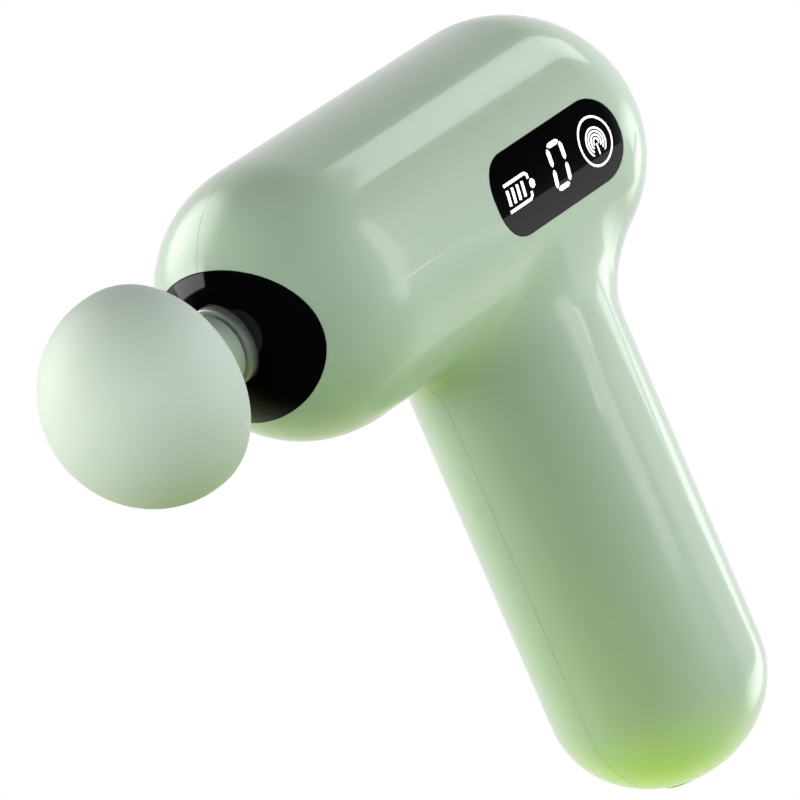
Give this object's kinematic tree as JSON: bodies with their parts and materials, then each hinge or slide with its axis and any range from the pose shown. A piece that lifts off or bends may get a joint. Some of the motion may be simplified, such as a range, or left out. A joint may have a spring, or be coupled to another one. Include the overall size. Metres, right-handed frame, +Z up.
{
  "type": "massage gun",
  "caption": "Cordless mini massage gun: round mint barrel and grip, black oval front plate, side display window and a pull-off ball head driven in and out by a crank.",
  "frame": {"origin": "middle of the grip, on the handle's axis", "axes": "-X points the way the massage head faces, +Z up along the handle to the barrel, -Y towards the display side"},
  "size_m": [0.1516, 0.0518, 0.1433],
  "materials": {
    "acetal": "plain",
    "black_plastic": "plain",
    "black_rubber": "plain",
    "black_wire": "insulated wire",
    "body_mint": "smooth glossy moulded plastic",
    "cast_aluminium": "as cast",
    "cell_wrap": "shrink wrap",
    "circuit_board": "green solder mask",
    "copper": null,
    "dark_steel": "blackened",
    "display_black": "polished black display cover",
    "gloss_black": "piano black, high gloss",
    "neck_mint": "satin moulded plastic",
    "plunger_grey": "turned and lightly blasted",
    "red_wire": "insulated wire",
    "soft_mint": "satin skin over dense foam",
    "steel": "turned",
    "white_plastic": "plain"
  },
  "bodies": {
    "casing": {"housing_left": "body_mint", "housing_right": "body_mint", "housing_screw_1": "dark_steel", "housing_screw_2": "dark_steel", "housing_screw_3": "dark_steel", "housing_screw_4": "dark_steel", "housing_screw_5": "dark_steel", "front_faceplate": "gloss_black", "display_window": "display_black", "port_plate": "body_mint", "usb_port": "steel", "charge_board": "circuit_board", "display_board": "circuit_board", "display_module": "white_plastic", "touch_spring": "copper", "display_ribbon": "white_plastic", "drive_frame": "cast_aluminium", "rear_bushing": "acetal", "front_bushing": "acetal", "front_seal": "black_rubber", "front_damper": "black_rubber", "frame_damper_1": "black_rubber", "frame_damper_2": "black_rubber", "frame_damper_3": "black_rubber", "frame_damper_4": "black_rubber", "shaft_bearing": "steel", "motor_base": "cast_aluminium", "stator_core": "dark_steel", "stator_windings": "copper", "motor_screw_1": "dark_steel", "motor_screw_2": "dark_steel", "motor_screw_3": "dark_steel", "battery_cell_1": "cell_wrap", "cell_tab_1": "steel", "battery_cell_2": "cell_wrap", "cell_tab_2": "steel", "cell_link": "steel", "battery_holder": "black_plastic", "main_board": "circuit_board", "capacitor": "dark_steel", "motor_lead_1": "black_wire", "motor_lead_2": "black_wire", "motor_lead_3": "black_wire", "battery_lead_red": "red_wire", "battery_lead_black": "black_wire", "charge_cable": "black_wire"},
    "crank": {"rotor_bell": "dark_steel", "magnet_ring": "steel", "motor_shaft": "steel", "crank_disc": "steel", "crank_clip": "dark_steel"},
    "rod": {"connecting_rod": "cast_aluminium", "crank_bearing": "steel", "wrist_pin": "steel"},
    "plunger": {"plunger": "plunger_grey"},
    "head": {"head_ball": "soft_mint", "head_core": "neck_mint", "stem_ring_1": "black_rubber", "stem_ring_2": "black_rubber"}
  },
  "joints": [
    {"name": "crank_spin", "type": "hinge", "parent": "casing", "child": "crank", "pos_m": [0, 0, 0.07], "axis": [0, 0, 1], "continuous": true},
    {"name": "rod_pivot", "type": "hinge", "parent": "crank", "child": "rod", "pos_m": [0.0035, 0, 0.07], "axis": [0, 0, 1], "continuous": true},
    {"name": "plunger_slide", "type": "slide", "parent": "casing", "child": "plunger", "axis": [-1, 0, 0], "range_m": [0, 0.007]},
    {"name": "head_pull", "type": "slide", "parent": "plunger", "child": "head", "axis": [-1, 0, 0], "range_m": [0, 0.025]}
  ],
  "couplings": [
    {"joint": "rod_pivot", "follows": "crank_spin", "ratio": -1}
  ]
}
